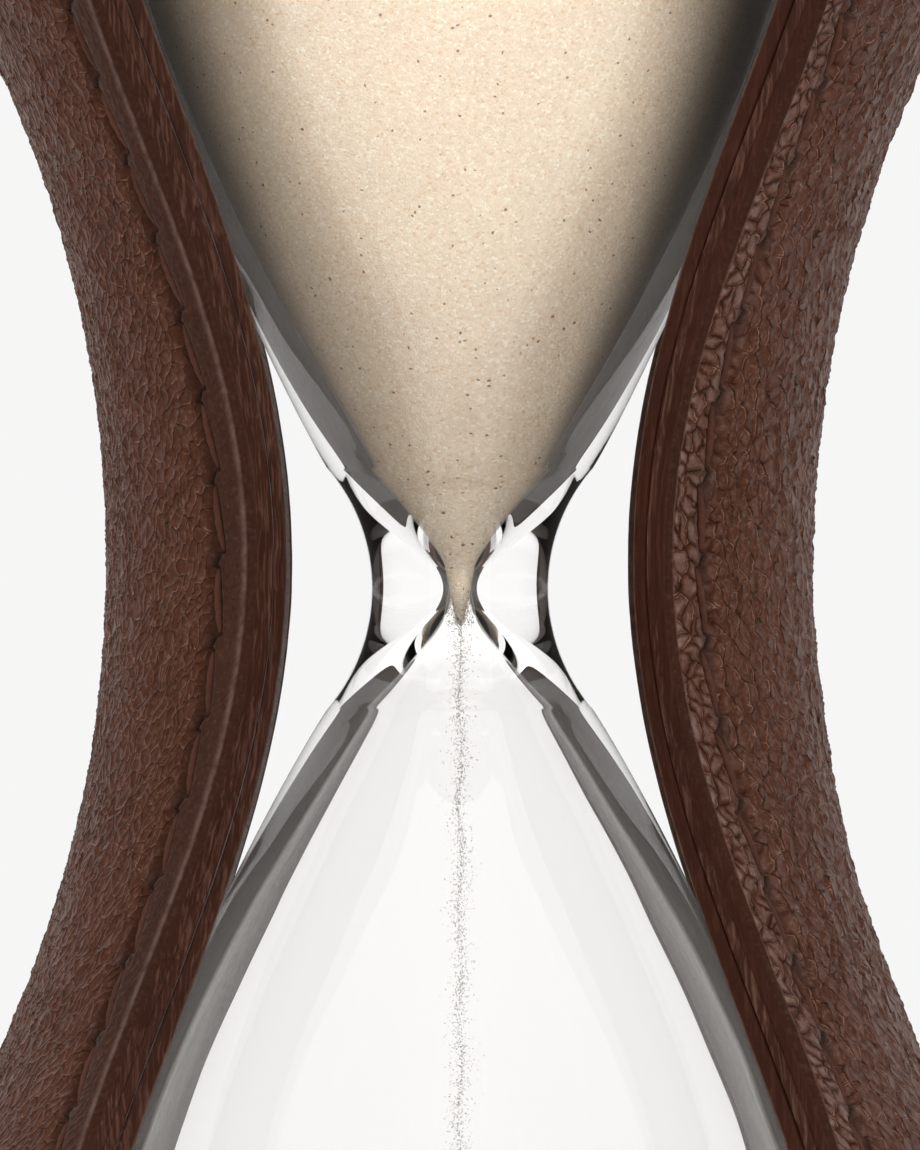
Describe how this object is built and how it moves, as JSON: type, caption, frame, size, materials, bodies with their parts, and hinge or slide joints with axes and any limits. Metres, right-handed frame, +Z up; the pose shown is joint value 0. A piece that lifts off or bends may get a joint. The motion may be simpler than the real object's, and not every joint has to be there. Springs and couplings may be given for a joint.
{
  "type": "hourglass",
  "caption": "Sand timer: a one-piece glass vessel with a narrow throat between two leather-clad caps, held in a waisted, edge-sewn leather sheath with a window front and back.",
  "frame": {"origin": "centre of the lower cap's outward face, on the surface that the hourglass stands on", "axes": "+Z up along the glass vessel's axis, -Y out of the front window, +X towards the right panel"},
  "size_m": [0.0902, 0.0902, 0.1626],
  "materials": {
    "glass": "clear blown glass, polished by the flame",
    "outer_leather": "pebbled brown cowhide, satin",
    "lining_leather": "smooth dark brown lining leather",
    "filler_leather": "cut and stained leather strip",
    "thread": "waxed dark brown linen thread",
    "steel": "bare rolled spring steel",
    "screw_steel": "bright turned steel",
    "wood": "plain turned beech",
    "cork": "agglomerated cork",
    "sand": "loose pale quartz grains with dark and red specks"
  },
  "bodies": {
    "root": {"glass_vessel": "glass", "fill_stopper": "cork", "upper_sand": "sand", "falling_sand": "sand", "lower_sand": "sand", "right_outer_leather": "outer_leather", "right_lining_leather": "lining_leather", "right_stiffener": "steel", "right_front_filler": "filler_leather", "right_front_thread": "thread", "right_back_filler": "filler_leather", "right_back_thread": "thread", "left_outer_leather": "outer_leather", "left_lining_leather": "lining_leather", "left_stiffener": "steel", "left_front_filler": "filler_leather", "left_front_thread": "thread", "left_back_filler": "filler_leather", "left_back_thread": "thread", "top_cap_core": "wood", "top_face_leather": "outer_leather", "top_inner_leather": "outer_leather", "top_rim_leather": "outer_leather", "top_bulb_seat": "cork", "top_face_thread": "thread", "top_screw_1": "screw_steel", "top_screw_2": "screw_steel", "top_screw_3": "screw_steel", "top_screw_4": "screw_steel", "bottom_cap_core": "wood", "bottom_face_leather": "outer_leather", "bottom_inner_leather": "outer_leather", "bottom_rim_leather": "outer_leather", "bottom_bulb_seat": "cork", "bottom_face_thread": "thread", "bottom_screw_1": "screw_steel", "bottom_screw_2": "screw_steel", "bottom_screw_3": "screw_steel", "bottom_screw_4": "screw_steel"}
  },
  "joints": []
}
